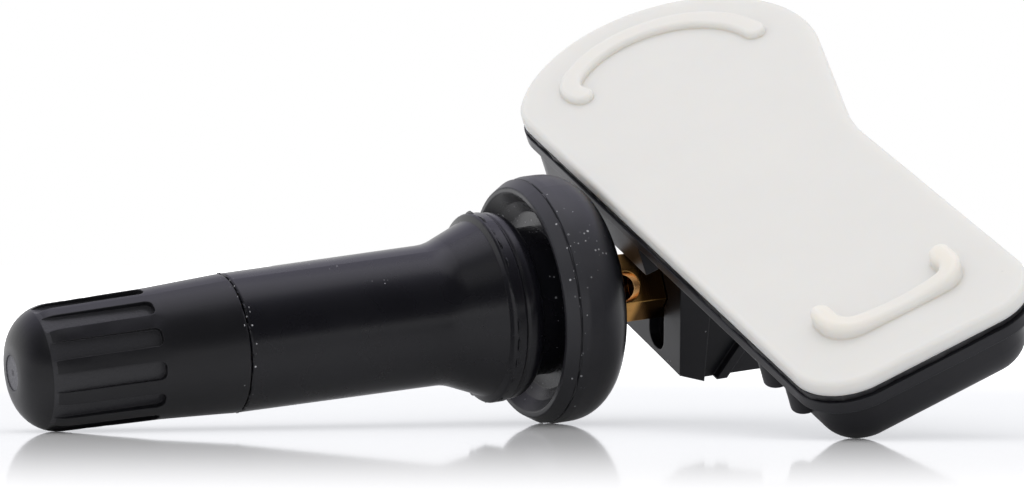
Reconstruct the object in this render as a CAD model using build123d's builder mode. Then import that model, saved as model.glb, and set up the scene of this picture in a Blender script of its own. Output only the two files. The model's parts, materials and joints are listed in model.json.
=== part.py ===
from build123d import *
from math import asin, atan2, cos, degrees, hypot, radians, sin, tan
import os

# Tyre pressure sensor with a rubber snap-in valve, lying on its cap, its flange and a corner of its tub.
# Millimetres. The origin is on the valve's axis, in the shoulder plane that bears on the wheel rim, Z is up,
# and the cap points towards -X. Stations are measured from the origin along the valve, plus towards the cap.

# Fits
bond_gap = 0.02
face_gap = 0.05
slide_gap = 0.1

# Brass stem, across
tube_radius = 3.2
thread_rise = 0.25
core_thread_wall = 0.85
chamber_step = 0.45
passage_radius = 1.2
anchor_rise = 3.0
shank_radius = 2.75
hex_width = 4.6
hex_flat_angle = 30.0
cross_hole_radius = 1.2
mouth_round = 0.3

# Brass stem, along
nipple_length = 11.6
thread_gap = 0.3
anchor_cover = 1.0
anchor_thickness = 1.3
hex_gap = 0.4
hex_length = 8.8
cross_hole_drop = 2.0
passage_rest = 1.8

# Rubber stem, across, from the brass outwards
rubber_wall = 2.23
stem_taper = 0.15
stem_edge_round = 0.2
flare_rise = 1.37
flare_round = 4.0
bead_rise = 0.55
bead_round = 0.25
crease_depth = 0.22
crease_round = 0.12
band_drop = 0.1
band_shoulder = 0.15
cup_floor_width = 1.15
cup_wall_lean = 0.85
lip_lean = 0.8
lip_width = 0.4
lip_round = 0.15
lip_bevel = 0.55
crown_rise = 0.14
crown_round = 1.0
flange_back_round = 3.0

# Rubber stem, along, from the shoulder both ways
band_width = 1.6
band_flat = 0.25
crease_half_width = 0.18
bead_width = 0.95
bead_step = 0.25
flare_run = 3.34
stem_length = 16.9
cup_depth = 2.3
cup_step_rise = 0.7
lip_rise = 1.0
ridge_drop = 0.9
ridge_notch = 0.2
crown_drop = 0.6
flange_thickness = 4.1

# Cap
thread_play = 0.5
cap_bore_lead = 0.7
cap_skirt_drop = 0.33
cap_skirt_length = 5.95
cap_taper_drop = 0.25
cap_crown = 4.35
gate_land_radius = 1.35
gate_land_depth = 0.08
gate_land_margin = 0.05
gate_radius = 0.25
gate_depth = 0.2
flute_count = 12
flute_phase = 12.0
flute_set_back = 0.6
flute_run_out = 1.5
flute_width = 1.4
flute_end_round = 0.5
flute_wall = 0.47
seal_thickness = 1.0
seal_hole_radius = 1.6

# Valve core, along, from the brass mouth inwards
plug_drop = 0.7
plug_length = 4.9
plug_bridge_width = 2.2
plug_bridge_height = 1.7
core_thread_run = 0.8
seat_length = 1.2
chamber_length = 8.9
barrel_length = 5.8
barrel_ledge = 0.7
pin_drop = 0.2
pin_head_length = 0.5
collar_drop = 1.1
collar_length = 0.6
cup_seal_height = 0.7
cup_seal_rise = 0.3
cup_base = 0.9
spring_turns = 5

# Valve core, across
barrel_gap = 0.3
seal_groove_depth = 0.35
seal_groove_wall = 0.35
pin_radius = 0.4
pin_head_rise = 0.3
barrel_hole_play = 0.25
collar_gap = 0.2
cup_gap = 0.65
cup_wall = 0.15
spring_wire = 0.14
spring_play = 0.11

# Housing, seen square to the cover: x along it to the narrow end, y across it away from the valve, z out of
# the cover, from the point where the valve's axis passes under the cover's near edge
edge_gap = 3.3
cover_slope = 20.65
narrow_end = 38.0
narrow_width = 18.75
corner_radius = 4.3
lobe_x = -8.2
lobe_sink = 1.3
lobe_radius = 12.3
heel_radius = 5.0
flank_angle = 17.2
knee_radius = 12.0
tub_lift = 3.1
head_room = 0.65
cover_thickness = 1.15
cover_edge_round = 0.35
weld_step = 0.6
weld_inset = 0.5
rim_overhang = 0.1
rim_thickness = 0.9
body_inset = 1.0
body_round = 2.4
skirt_inset = 0.5
skirt_depth = 3.9
wall = 1.3
floor_thickness = 1.2

# Cover ribs
arc_rib_inset = 3.9
arc_rib_width = 1.75
arc_rib_height = 0.6
arc_rib_start = 96.0
arc_rib_end = 222.0
hook_radius = 2.4
hook_turn = 76.0
rib_round = 0.3
bracket_set_back = 5.3
bracket_shift = 0.1
bracket_span = 9.9
bracket_leg = 2.7
bracket_bend = 1.6
bracket_width = 1.6
bracket_height = 0.65
horn_height = 1.25
horn_round = 0.45

# Cradle, in the valve's own directions
cradle_wall = 1.5
cradle_bottom = -5.7
cradle_lean = 0.8
cradle_heel_drop = 0.8
cradle_rear_reach = 15.0
pad_thickness = 2.2
side_recess = 0.7
brace_set_back = 3.3
brace_width = 0.75
brace_angle = 57.0
hex_engagement = 3.0
notch_shift = 0.8
notch_width = 2.6
notch_foot = 0.5
notch_depth = 0.8
notch_round = 1.2
seat_plate = 2.4

# Lugs under the rim
lug_set_backs = (11.1, 6.8)
lug_half_length = 1.2
lug_reach = 1.0
lug_drop = 2.2

# Screw
screw_radius = 1.2
screw_play = 0.25
screw_engagement = 3.5
drill_allowance = 0.4
screw_head_overlap = 1.25
screw_head_height = 1.9
screw_head_round = 0.8
screw_bay_gap = 0.8
screw_bay_length = 2.2
drive_radius = 1.35
drive_depth = 1.1

# Inside the tub
board_thickness = 0.8
board_edge_gap = 0.25
board_lap = 0.8
end_post_set_back = 5.7
near_post_y = 4.7
far_post_inset = 4.45
knee_post_x = 6.6
knee_post_inset = 4.35
post_radius = 1.4
pin_post_radius = 0.6
pin_post_rise = 0.3
battery_gap = 2.0
battery_height = 3.2
battery_can_step = 0.4
battery_can_inset = 1.3
battery_round = 0.5
board_battery_gap = 0.4
tab_thickness = 0.2
tab_width = 3.0
tab_lap = 3.0
negative_tab_y = 5.2
negative_leg_gap = 3.2
chip_x, chip_y = 18.0, 8.0
chip_size = 5.0
chip_height = 1.8
chip_port_radius = 0.6
gasket_radius = 2.0
gasket_bore_radius = 0.9
port_radius = 0.7
coil_set_back = 12.4
coil_inset = 6.15
coil_length = 7.4
coil_flange = 0.8
coil_width = 2.6
coil_height = 2.2
coil_waist = 1.3
winding_wall = 0.45
crystal_x = 11.8
crystal_inset = 5.75
crystal_length, crystal_width, crystal_height = 3.2, 2.5, 0.8
antenna_set_back = 3.3
antenna_shift = 0.125
antenna_span = 5.6
antenna_drop = 1.7
antenna_width = 0.8
antenna_thickness = 0.3
capacitor_places = ((10.0, 5.0), (12.6, 5.0), (22.6, 4.6), (25.2, 4.6), (13.5, 9.6), (22.4, 9.0))
capacitor_length, capacitor_width, capacitor_height = 1.6, 0.8, 0.7

# Radii that follow, from the brass tube outwards and inwards
thread_radius = tube_radius + thread_rise
core_thread_radius = thread_radius - core_thread_wall
chamber_radius = core_thread_radius - chamber_step
anchor_radius = tube_radius + anchor_rise
stem_radius = tube_radius + rubber_wall
stem_top_radius = stem_radius - stem_taper
flare_radius = stem_radius + flare_rise
bead_radius = flare_radius + bead_rise
band_radius = bead_radius - band_drop
band_round = band_width - band_flat
rim_hole_radius = band_radius - band_round - band_shoulder
cup_floor_radius = rim_hole_radius + cup_floor_width
cup_step_radius = cup_floor_radius + cup_wall_lean
lip_inner_radius = cup_step_radius + lip_lean
lip_outer_radius = lip_inner_radius + lip_width
ridge_radius = lip_outer_radius + lip_bevel
flange_radius = ridge_radius + crown_rise
cap_bore_radius = thread_radius + thread_play
cap_skirt_radius = stem_top_radius - cap_skirt_drop
cap_nose_radius = cap_skirt_radius - cap_taper_drop
cap_dome_round = cap_nose_radius - gate_land_radius - gate_land_margin
flute_floor_radius = cap_bore_radius + flute_wall
barrel_radius = chamber_radius - barrel_gap
barrel_groove_radius = barrel_radius - seal_groove_depth
barrel_bore_radius = barrel_groove_radius - seal_groove_wall
barrel_hole_radius = pin_radius + barrel_hole_play
pin_head_radius = pin_radius + pin_head_rise
plug_hole_radius = pin_head_radius + slide_gap
collar_radius = barrel_bore_radius - collar_gap
spring_radius = barrel_bore_radius - spring_play - spring_wire
cup_radius = chamber_radius - cup_gap
screw_hole_radius = screw_radius + screw_play
screw_head_radius = screw_hole_radius + screw_head_overlap
screw_bay_half_width = screw_head_radius + screw_bay_gap
cradle_half_width = screw_bay_half_width + cradle_wall
battery_radius = lobe_radius - body_inset - wall - battery_gap

# Stations that follow, along the valve
bead_back = band_width + 2 * crease_half_width
bead_front = bead_back + bead_width
flare_head = bead_front + bead_step
flare_foot = flare_head + flare_run
stem_top = flare_foot + stem_length
cup_floor = -cup_depth
cup_step = cup_floor + cup_step_rise
lip_crest = cup_step + lip_rise
ridge_station = lip_crest - ridge_drop
flange_crown = ridge_station - ridge_notch - crown_drop
flange_back = flange_crown - flange_thickness
brass_mouth = stem_top + nipple_length
thread_foot = stem_top + thread_gap
anchor_top = cup_floor - anchor_cover
hex_start = flange_back - hex_gap
hex_end = hex_start - hex_length
cross_hole_station = hex_start - cross_hole_drop
passage_end = cross_hole_station - passage_rest
cap_mouth = stem_top + face_gap
cap_skirt_top = cap_mouth + cap_skirt_length
seal_foot = brass_mouth + face_gap
cap_bore_top = seal_foot + seal_thickness
cap_nose = cap_bore_top + cap_crown
flute_start = cap_skirt_top + flute_set_back
flute_end = cap_nose - flute_run_out
plug_top = brass_mouth - plug_drop
plug_foot = plug_top - plug_length
core_thread_foot = plug_foot - core_thread_run
seat_foot = core_thread_foot - seat_length
chamber_foot = seat_foot - chamber_length
barrel_foot = plug_foot - barrel_length
pin_tip = brass_mouth - pin_drop
collar_foot = plug_foot - collar_drop
cradle_front = hex_end + hex_engagement
cradle_brow = cradle_front + cradle_lean
brace_foot = cradle_front - brace_set_back
seat_back = hex_end - seat_plate
screw_tip = hex_end + screw_engagement
cradle_rear_foot = seat_back - screw_bay_length
cradle_heel = cradle_bottom - cradle_heel_drop
edge_station = flange_back - edge_gap

# Heights and places that follow, in the housing
tub_floor = tub_lift
cavity_floor = tub_floor + floor_thickness
battery_underside = cavity_floor + tab_thickness
board_top = battery_underside + battery_height
board_underside = board_top - board_thickness
rim_top = board_top + head_room
rim_underside = rim_top - rim_thickness
cover_underside = rim_top + weld_step
cover_top = cover_underside + cover_thickness
chip_underside = board_underside - chip_height
lobe_y = lobe_radius - lobe_sink
arc_rib_radius = lobe_radius - arc_rib_inset
bracket_x, bracket_y = narrow_end - bracket_set_back, narrow_width / 2 + bracket_shift
horn_x = bracket_x - bracket_leg
end_post_x = narrow_end - end_post_set_back
post_places = (
    (end_post_x, near_post_y),
    (end_post_x, narrow_width - far_post_inset),
    (knee_post_x, narrow_width - knee_post_inset),
)
board_start = lobe_x + battery_radius - board_lap
negative_leg_x = lobe_x + battery_radius + negative_leg_gap
coil_x, coil_y = narrow_end - coil_set_back, narrow_width - coil_inset
crystal_y = narrow_width - crystal_inset
antenna_x, antenna_y = narrow_end - antenna_set_back, narrow_width / 2 + antenna_shift

# How it lies: the valve tips down until flange and cap nose rest on one line, and the whole part rolls about
# the valve's axis until the tub's corner comes down to the same floor.
lead_angle = atan2(flange_radius - ridge_radius, ridge_station - ridge_notch - flange_crown)
crown_r = flange_radius - crown_round
crown_s = flange_crown - crown_round * tan(lead_angle / 2)
cap_taper = (cap_skirt_radius - cap_nose_radius) / (cap_nose - cap_skirt_top)
dome_s = cap_nose - cap_dome_round
dome_r = cap_nose_radius + cap_taper * cap_dome_round - cap_dome_round * hypot(1, cap_taper)
contact_span = hypot(dome_s - crown_s, crown_r - dome_r)
tilt = atan2(crown_r - dome_r, dome_s - crown_s) + asin((crown_round - cap_dome_round) / contact_span)
floor_height = -crown_s * sin(tilt) - crown_r * cos(tilt) - crown_round
slope = radians(cover_slope)


def up_in_housing(roll):
    """World up, along the housing's x, y and z, for a roll about the valve's axis."""
    across = cos(tilt) * cos(roll)
    return (
        -sin(roll) * cos(tilt),
        across * sin(slope) + sin(tilt) * cos(slope),
        across * cos(slope) - sin(tilt) * sin(slope),
    )


def corner_clearance(roll):
    """Height of the tub's lowest rounded corner over the floor."""
    up_x, up_y, up_z = up_in_housing(roll)
    round_x = narrow_end - corner_radius
    lowest = round_x * up_x + corner_radius * up_y + (tub_floor + body_round) * up_z
    plan_radius = corner_radius - body_inset - body_round
    lowest -= plan_radius * hypot(up_x, up_y) + body_round
    return -edge_station * sin(tilt) + lowest - floor_height


low_roll, high_roll = radians(2), radians(60)
for _ in range(50):
    roll = (low_roll + high_roll) / 2
    if corner_clearance(roll) > 0:
        low_roll = roll
    else:
        high_roll = roll

# Directions and working planes
to_cap = Vector(-cos(tilt), 0, -sin(tilt))
along = Vector(sin(roll) * sin(tilt), -cos(roll), -sin(roll) * cos(tilt))
upright = to_cap.cross(along)
cover_normal = upright * cos(slope) + to_cap * sin(slope)
VALVE = Plane((0, 0, 0), x_dir=along, z_dir=to_cap)
SECTION = Plane((0, 0, 0), x_dir=upright, z_dir=along)
HOUSING = Plane(to_cap * edge_station, x_dir=along, z_dir=cover_normal)
VALVE_AXIS = Axis((0, 0, 0), to_cap)


def half_section(*corners):
    """Half section of a round piece: corners as (radius, station, rounding), in order round the wall."""
    with BuildSketch(SECTION) as half:
        with BuildLine():
            FilletPolyline(*[(r, s) for r, s, _ in corners], radius=[f for *_, f in corners], close=True)
        make_face()
    return half.sketch


def tube_section(bore, radius, foot, top):
    """Half section of a plain washer or tube."""
    return half_section((bore, foot, 0), (radius, foot, 0), (radius, top, 0), (bore, top, 0))


with BuildSketch() as cover_plan:
    flank = radians(90 - flank_angle)
    lobe_cut = degrees(asin(lobe_y / lobe_radius))
    shoulder = Vector(lobe_x + lobe_radius * cos(flank), lobe_y + lobe_radius * sin(flank))
    knee = (shoulder.X + (shoulder.Y - narrow_width) / tan(radians(flank_angle)), narrow_width)
    with BuildLine():
        lobe = CenterArc((lobe_x, lobe_y), lobe_radius, 90 - flank_angle, 90 + lobe_cut + flank_angle)
        Polyline(lobe @ 1, (narrow_end, 0), (narrow_end, narrow_width), knee, lobe @ 0)
    make_face()
    corners = cover_plan.vertices()
    fillet(corners.group_by(Axis.X)[-1], corner_radius)
    fillet(cover_plan.vertices().sort_by_distance(knee)[0], knee_radius)
    fillet(cover_plan.vertices().sort_by_distance(lobe @ 1)[0], heel_radius)


def plan(height, growth):
    """The cover's outline at a height over the valve's crossing, grown or shrunk all round."""
    with BuildSketch(HOUSING.offset(height)) as shape:
        add(cover_plan.sketch)
        offset(amount=growth)
    return shape.sketch


# Brass stem: turned tube with an anchor disc in the rubber, a hexagonal inner end and a cross hole
anchor_foot = anchor_top - anchor_thickness
cross_direction = along.rotate(VALVE_AXIS, hex_flat_angle)
with BuildPart() as brass_stem:
    revolve(
        half_section(
            (0, hex_start, 0),
            (0, brass_mouth, 0),
            (thread_radius, brass_mouth, mouth_round),
            (thread_radius, thread_foot, 0),
            (tube_radius, thread_foot, 0),
            (tube_radius, anchor_top, 0),
            (anchor_radius, anchor_top, 0),
            (anchor_radius, anchor_foot, 0),
            (shank_radius, anchor_foot, 0),
            (shank_radius, hex_start, 0),
        ),
        axis=VALVE_AXIS,
    )
    with BuildSketch(VALVE.offset(hex_end)):
        RegularPolygon(hex_width / 2, 6, major_radius=False)
    extrude(amount=hex_start - hex_end)
    revolve(
        half_section(
            (0, passage_end, 0),
            (passage_radius, passage_end, 0),
            (passage_radius, chamber_foot - chamber_radius + passage_radius, 0),
            (chamber_radius, chamber_foot, 0),
            (chamber_radius, seat_foot, 0),
            (core_thread_radius, core_thread_foot, 0),
            (core_thread_radius, brass_mouth, 0),
            (0, brass_mouth, 0),
        ),
        axis=VALVE_AXIS,
        mode=Mode.SUBTRACT,
    )
    with BuildSketch(Plane(to_cap * cross_hole_station, x_dir=to_cap, z_dir=cross_direction)):
        Circle(cross_hole_radius)
    extrude(amount=hex_width, both=True, mode=Mode.SUBTRACT)
    with BuildSketch(VALVE.offset(hex_end)):
        Circle(screw_radius + bond_gap)
    extrude(amount=screw_tip + drill_allowance - hex_end, mode=Mode.SUBTRACT)

# Rubber stem: one moulding, from the smooth stem through bead, rim groove and cup to the rounded flange
with BuildPart() as rubber_stem:
    revolve(
        half_section(
            (tube_radius + bond_gap, stem_top, 0),
            (stem_top_radius, stem_top, stem_edge_round),
            (stem_radius, flare_foot, flare_round),
            (flare_radius, flare_head, 0),
            (bead_radius, bead_front, bead_round),
            (bead_radius, bead_back, crease_round),
            (bead_radius - crease_depth, band_width + crease_half_width, 0),
            (band_radius, band_width, crease_round),
            (band_radius, 0, band_round),
            (rim_hole_radius, 0, 0),
            (rim_hole_radius, cup_floor, 0),
            (cup_floor_radius, cup_floor, 0),
            (cup_step_radius, cup_step, 0),
            (lip_inner_radius, lip_crest, lip_round),
            (lip_outer_radius, lip_crest, lip_round),
            (ridge_radius, ridge_station, 0),
            (ridge_radius - ridge_notch, ridge_station - ridge_notch / 2, 0),
            (ridge_radius, ridge_station - ridge_notch, 0),
            (flange_radius, flange_crown, crown_round),
            (flange_radius, flange_back, flange_back_round),
            (shank_radius + bond_gap, flange_back, 0),
            (shank_radius + bond_gap, anchor_foot - bond_gap, 0),
            (anchor_radius + bond_gap, anchor_foot - bond_gap, 0),
            (anchor_radius + bond_gap, anchor_top + bond_gap, 0),
            (tube_radius + bond_gap, anchor_top + bond_gap, 0),
        ),
        axis=VALVE_AXIS,
    )

# Cap: moulded plastic with a domed nose, a sunk gate mark and flutes for the fingers that run out on the dome
gate_land = cap_nose - gate_land_depth
with BuildPart() as valve_cap:
    revolve(
        half_section(
            (cap_bore_radius + cap_bore_lead, cap_mouth, 0),
            (stem_top_radius, cap_mouth, stem_edge_round),
            (cap_skirt_radius, cap_skirt_top, 0),
            (cap_nose_radius, cap_nose, cap_dome_round),
            (gate_land_radius, cap_nose, 0),
            (gate_land_radius, gate_land, 0),
            (gate_radius, gate_land, 0),
            (0, gate_land - gate_depth, 0),
            (0, cap_bore_top, 0),
            (cap_bore_radius, cap_bore_top, 0),
            (cap_bore_radius, cap_mouth + cap_bore_lead, 0),
        ),
        axis=VALVE_AXIS,
    )
    for number in range(flute_count):
        outward = along.rotate(VALVE_AXIS, flute_phase + number * 360 / flute_count)
        middle = to_cap * ((flute_start + flute_end) / 2)
        with BuildSketch(Plane(middle + outward * flute_floor_radius, x_dir=to_cap, z_dir=outward)):
            RectangleRounded(flute_end - flute_start, flute_width, flute_end_round)
        extrude(amount=stem_radius - flute_floor_radius, mode=Mode.SUBTRACT)

# Cap seal: rubber washer in the top of the cap, on the brass mouth
with BuildPart() as cap_seal:
    revolve(
        tube_section(seal_hole_radius, cap_bore_radius - face_gap, seal_foot, cap_bore_top),
        axis=VALVE_AXIS,
    )

# Valve core: screwed plug with a key bridge, barrel with its seat seal, and the sprung pin with its cup
with BuildPart() as core_plug:
    revolve(
        tube_section(plug_hole_radius, core_thread_radius - bond_gap, plug_foot, plug_top),
        axis=VALVE_AXIS,
    )
    with BuildSketch(VALVE.offset(plug_top)):
        Circle(core_thread_radius)
        Rectangle(2 * core_thread_radius, plug_bridge_width, mode=Mode.SUBTRACT)
    extrude(amount=-plug_bridge_height, mode=Mode.SUBTRACT)

seat_rise = (core_thread_radius - chamber_radius) / (core_thread_foot - seat_foot)
core_seal_foot = seat_foot + face_gap
core_seal_top = core_thread_foot - face_gap
with BuildPart() as core_barrel:
    revolve(
        half_section(
            (barrel_hole_radius, barrel_foot, 0),
            (barrel_radius, barrel_foot, 0),
            (barrel_radius, core_seal_foot - bond_gap, 0),
            (barrel_groove_radius, core_seal_foot - bond_gap, 0),
            (barrel_groove_radius, core_seal_top + bond_gap, 0),
            (barrel_radius, core_seal_top + bond_gap, 0),
            (barrel_radius, plug_foot, 0),
            (barrel_bore_radius, plug_foot, 0),
            (barrel_bore_radius, barrel_foot + barrel_ledge, 0),
            (barrel_hole_radius, barrel_foot + barrel_ledge, 0),
        ),
        axis=VALVE_AXIS,
    )

with BuildPart() as core_seal:
    revolve(
        half_section(
            (barrel_groove_radius + bond_gap, core_seal_foot, 0),
            (chamber_radius + seat_rise * (core_seal_foot - seat_foot) - face_gap, core_seal_foot, 0),
            (chamber_radius + seat_rise * (core_seal_top - seat_foot) - face_gap, core_seal_top, 0),
            (barrel_groove_radius + bond_gap, core_seal_top, 0),
        ),
        axis=VALVE_AXIS,
    )

cup_seal_top = barrel_foot - bond_gap
cup_seal_foot = cup_seal_top - cup_seal_height
cup_rim = cup_seal_top - cup_seal_rise
cup_foot = cup_seal_foot - cup_base
with BuildPart() as core_pin:
    revolve(
        half_section(
            (0, cup_foot, 0),
            (pin_radius, cup_foot, 0),
            (pin_radius, collar_foot, 0),
            (collar_radius, collar_foot, 0),
            (collar_radius, collar_foot + collar_length, 0),
            (pin_radius, collar_foot + collar_length, 0),
            (pin_radius, pin_tip - pin_head_length, 0),
            (pin_head_radius, pin_tip - pin_head_length, 0),
            (pin_head_radius, pin_tip, pin_head_radius / 3),
            (0, pin_tip, 0),
        ),
        axis=VALVE_AXIS,
    )

with BuildPart() as core_cup:
    revolve(
        half_section(
            (pin_radius + bond_gap, cup_foot, 0),
            (cup_radius, cup_foot, cup_wall),
            (cup_radius, cup_rim, 0),
            (cup_radius - cup_wall, cup_rim, 0),
            (cup_radius - cup_wall, cup_seal_foot, 0),
            (pin_radius + bond_gap, cup_seal_foot, 0),
        ),
        axis=VALVE_AXIS,
    )

with BuildPart() as core_cup_seal:
    revolve(
        tube_section(
            pin_radius + bond_gap, cup_radius - cup_wall - bond_gap, cup_seal_foot, cup_seal_top
        ),
        axis=VALVE_AXIS,
    )

spring_foot = barrel_foot + barrel_ledge + spring_wire + bond_gap
spring_top = collar_foot - spring_wire - bond_gap
with BuildPart() as core_spring:
    spring_length = spring_top - spring_foot
    with BuildLine():
        coil = Helix(
            spring_length / spring_turns,
            spring_length,
            spring_radius,
            center=to_cap * spring_foot,
            direction=to_cap,
        )
    with BuildSketch(Plane(coil @ 0, z_dir=coil % 0)):
        Circle(spring_wire)
    sweep(path=coil, is_frenet=True)

# Mounting screw: pan head behind the seat plate, thread in the brass end
with BuildPart() as mounting_screw:
    revolve(
        half_section(
            (0, seat_back - screw_head_height, 0),
            (screw_head_radius, seat_back - screw_head_height, screw_head_round),
            (screw_head_radius, seat_back, 0),
            (screw_radius, seat_back, 0),
            (screw_radius, screw_tip, screw_radius / 4),
            (0, screw_tip, 0),
        ),
        axis=VALVE_AXIS,
    )
    with BuildSketch(VALVE.offset(seat_back - screw_head_height)):
        RegularPolygon(drive_radius, 6)
    extrude(amount=drive_depth, mode=Mode.SUBTRACT)

# Housing: moulded tub with rim, lugs, posts and the cradle that takes the brass end, all one piece
OUT_OF_COVER = Axis(HOUSING.origin, HOUSING.z_dir)


def under_tub(station, height):
    """Point of the cradle's side view at a height over the valve's crossing, as (upright, station)."""
    return ((height - (station - edge_station) * sin(slope)) / cos(slope), station)


def at_reach(reach, height):
    """Point of the cradle's side view at a reach across the housing, as (upright, station)."""
    return (
        reach * sin(slope) + height * cos(slope),
        edge_station - reach * cos(slope) + height * sin(slope),
    )


tie_height = tub_floor + floor_thickness / 2
pad_back = cradle_front - pad_thickness
cradle_side = [
    (cradle_bottom, cradle_front),
    (cradle_heel, pad_back),
    (cradle_heel, cradle_rear_foot),
    at_reach(cradle_rear_reach, tie_height),
    under_tub(cradle_brow, tie_height),
]
far_back = 2 * cradle_rear_foot
below = 2 * cradle_heel
brace_top = under_tub(cradle_front, tie_height)[0] - cradle_heel
brace_run = brace_top / tan(radians(brace_angle))
brace_side = [
    (cradle_heel, brace_foot),
    (cradle_heel, brace_foot - brace_width / sin(radians(brace_angle))),
    (cradle_heel + brace_top, brace_foot - brace_run - brace_width / sin(radians(brace_angle))),
    (cradle_heel + brace_top, brace_foot - brace_run),
]
with BuildPart() as sensor_housing:
    extrude(plan(tub_floor, -body_inset), amount=rim_top - tub_floor)
    fillet(sensor_housing.faces().sort_by(OUT_OF_COVER)[0].edges(), body_round)
    with BuildSketch(HOUSING.offset(rim_underside)):
        add(cover_plan.sketch)
        offset(amount=-skirt_inset)
        with Locations((cradle_half_width, lobe_y)):
            Rectangle(narrow_end, 4 * lobe_radius, align=(Align.MAX, Align.CENTER), mode=Mode.INTERSECT)
    extrude(amount=-skirt_depth)
    extrude(plan(rim_underside, rim_overhang), amount=rim_thickness)
    with BuildSketch(HOUSING.offset(rim_underside)):
        with Locations(*[(narrow_end - set_back, body_inset) for set_back in lug_set_backs]):
            Ellipse(lug_half_length, lug_reach)
    extrude(amount=-lug_drop)
    with BuildSketch(SECTION.offset(-cradle_half_width)):
        Polygon(*cradle_side, align=None)
    extrude(amount=2 * cradle_half_width)
    for skin in (SECTION.offset(-cradle_half_width), SECTION.offset(cradle_half_width - side_recess)):
        with BuildSketch(skin):
            Polygon(
                (below, pad_back),
                (below, far_back),
                under_tub(far_back, tub_floor),
                under_tub(pad_back, tub_floor),
                align=None,
            )
        extrude(amount=side_recess, mode=Mode.SUBTRACT)
        with BuildSketch(skin):
            Polygon(*brace_side, align=None)
            Polygon(*cradle_side, align=None, mode=Mode.INTERSECT)
        extrude(amount=side_recess)
    with BuildSketch(SECTION.offset(-screw_bay_half_width)):
        Polygon(
            (below, seat_back),
            (below, far_back),
            under_tub(far_back, tub_floor),
            under_tub(seat_back, tub_floor),
            align=None,
        )
    extrude(amount=2 * screw_bay_half_width, mode=Mode.SUBTRACT)
    notch_length = -cradle_bottom - notch_foot
    with BuildSketch(VALVE.offset(cradle_brow)):
        with Locations((notch_shift, -notch_length / 2)):
            RectangleRounded(notch_width, notch_length, notch_round)
    extrude(amount=-cradle_lean - notch_depth, mode=Mode.SUBTRACT)
    with BuildSketch(VALVE.offset(hex_end)):
        RegularPolygon(hex_width / 2 + slide_gap, 6, major_radius=False)
    extrude(amount=cradle_brow - hex_end, mode=Mode.SUBTRACT)
    with BuildSketch(VALVE.offset(seat_back)):
        Circle(screw_hole_radius)
    extrude(amount=seat_plate, mode=Mode.SUBTRACT)
    extrude(plan(cavity_floor, -body_inset - wall), amount=cover_top - cavity_floor, mode=Mode.SUBTRACT)
    with BuildSketch(HOUSING.offset(cavity_floor)):
        with Locations(*post_places):
            Circle(post_radius)
    extrude(amount=board_underside - cavity_floor)
    with BuildSketch(HOUSING.offset(board_underside)):
        with Locations(*post_places):
            Circle(pin_post_radius)
    extrude(amount=board_thickness + pin_post_rise)
    with BuildSketch(HOUSING.offset(tub_floor)):
        with Locations((chip_x, chip_y)):
            Circle(port_radius)
    extrude(amount=floor_thickness, mode=Mode.SUBTRACT)

# Cover: moulded lid with a weld step underneath, a long hooked rib on the lobe and a bracket-shaped rib that
# dips between its two horns
arc_rib_sweep = arc_rib_end - arc_rib_start
with BuildPart() as cover:
    with BuildSketch(HOUSING.offset(cover_underside)):
        add(cover_plan.sketch)
    extrude(amount=cover_thickness)
    fillet(cover.faces().sort_by(OUT_OF_COVER)[-1].edges(), cover_edge_round)
    extrude(plan(rim_top, -weld_inset), amount=weld_step)
    with BuildSketch(HOUSING.offset(cover_top)):
        with BuildLine(mode=Mode.PRIVATE) as rib_line:
            lobe_arc = CenterArc((lobe_x, lobe_y), arc_rib_radius, arc_rib_start, arc_rib_sweep)
            JernArc(lobe_arc @ 1, lobe_arc % 1, hook_radius, hook_turn)
        SlotArc(rib_line.wire(), arc_rib_width)
    extrude(amount=arc_rib_height)
    fillet(cover.faces(Select.LAST).sort_by(OUT_OF_COVER)[-1].edges(), rib_round)
    near_horn, far_horn = bracket_y - bracket_span / 2, bracket_y + bracket_span / 2
    horn_rise = horn_height - bracket_height
    saddle_radius = ((bracket_span / 2) ** 2 + horn_rise**2) / (2 * horn_rise)
    with BuildSketch(HOUSING.offset(cover_top)):
        with BuildLine(mode=Mode.PRIVATE) as bracket_line:
            FilletPolyline(
                (horn_x, near_horn),
                (bracket_x, near_horn),
                (bracket_x, far_horn),
                (horn_x, far_horn),
                radius=bracket_bend,
            )
        SlotArc(bracket_line.wire(), bracket_width)
    extrude(amount=2 * horn_height)
    saddle_middle = HOUSING.from_local_coords(
        (horn_x - bracket_width, bracket_y, cover_top + bracket_height + saddle_radius)
    )
    with BuildSketch(Plane(saddle_middle, x_dir=HOUSING.y_dir, z_dir=along)):
        Circle(saddle_radius)
    extrude(amount=bracket_leg + 2 * bracket_width, mode=Mode.SUBTRACT)
    saddle = cover.faces(Select.LAST).filter_by(GeomType.CYLINDER).sort_by(SortBy.RADIUS)[-1]
    fillet(saddle.edges(), horn_round)

# Circuit board: on three posts, cut round the battery
with BuildPart() as circuit_board:
    with BuildSketch(HOUSING.offset(board_underside)):
        add(cover_plan.sketch)
        offset(amount=-body_inset - wall - board_edge_gap)
        with Locations((lobe_x, lobe_y)):
            Circle(battery_radius + board_battery_gap, mode=Mode.SUBTRACT)
        with Locations((board_start, lobe_y)):
            Rectangle(narrow_end, 4 * lobe_radius, align=(Align.MAX, Align.CENTER), mode=Mode.SUBTRACT)
        with Locations(*post_places):
            Circle(pin_post_radius + slide_gap, mode=Mode.SUBTRACT)
    extrude(amount=board_thickness)

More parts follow.
